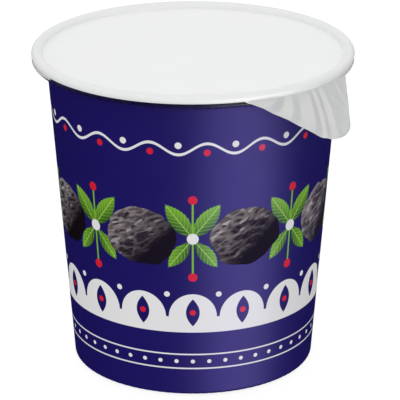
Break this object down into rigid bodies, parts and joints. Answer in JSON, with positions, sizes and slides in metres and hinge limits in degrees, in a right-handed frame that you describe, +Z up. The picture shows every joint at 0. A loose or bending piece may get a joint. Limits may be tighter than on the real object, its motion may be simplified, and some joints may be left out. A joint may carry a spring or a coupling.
{
  "type": "sealed snack cup",
  "caption": "Tapered plastic snack cup with a printed sleeve, a heat-sealed peel-off foil lid with a folded pull tab, and pitted prunes loose inside.",
  "frame": {"origin": "middle of the foot ring, on the surface that the cup stands on", "axes": "+Z up along the cup's axis, -Y towards the front, +X towards the right; the pull tab points between -Y and +X"},
  "size_m": [0.0949, 0.095, 0.0965],
  "materials": {
    "clear_plastic": "natural translucent polypropylene, satin",
    "printed_film": "navy printed film with a soft sheen",
    "white_foil": "white lacquered foil laminate, satin",
    "prune_skin": "wrinkled near-black dried fruit skin with a slight bloom"
  },
  "bodies": {
    "root": {"cup": "clear_plastic", "sleeve": "printed_film", "lid_foil": "white_foil", "prune_01": "prune_skin", "prune_02": "prune_skin", "prune_03": "prune_skin", "prune_04": "prune_skin", "prune_05": "prune_skin", "prune_06": "prune_skin", "prune_07": "prune_skin", "prune_08": "prune_skin", "prune_09": "prune_skin", "prune_10": "prune_skin", "prune_11": "prune_skin", "prune_12": "prune_skin", "prune_13": "prune_skin", "prune_14": "prune_skin", "prune_15": "prune_skin", "prune_16": "prune_skin", "prune_17": "prune_skin", "prune_18": "prune_skin"}
  },
  "joints": []
}
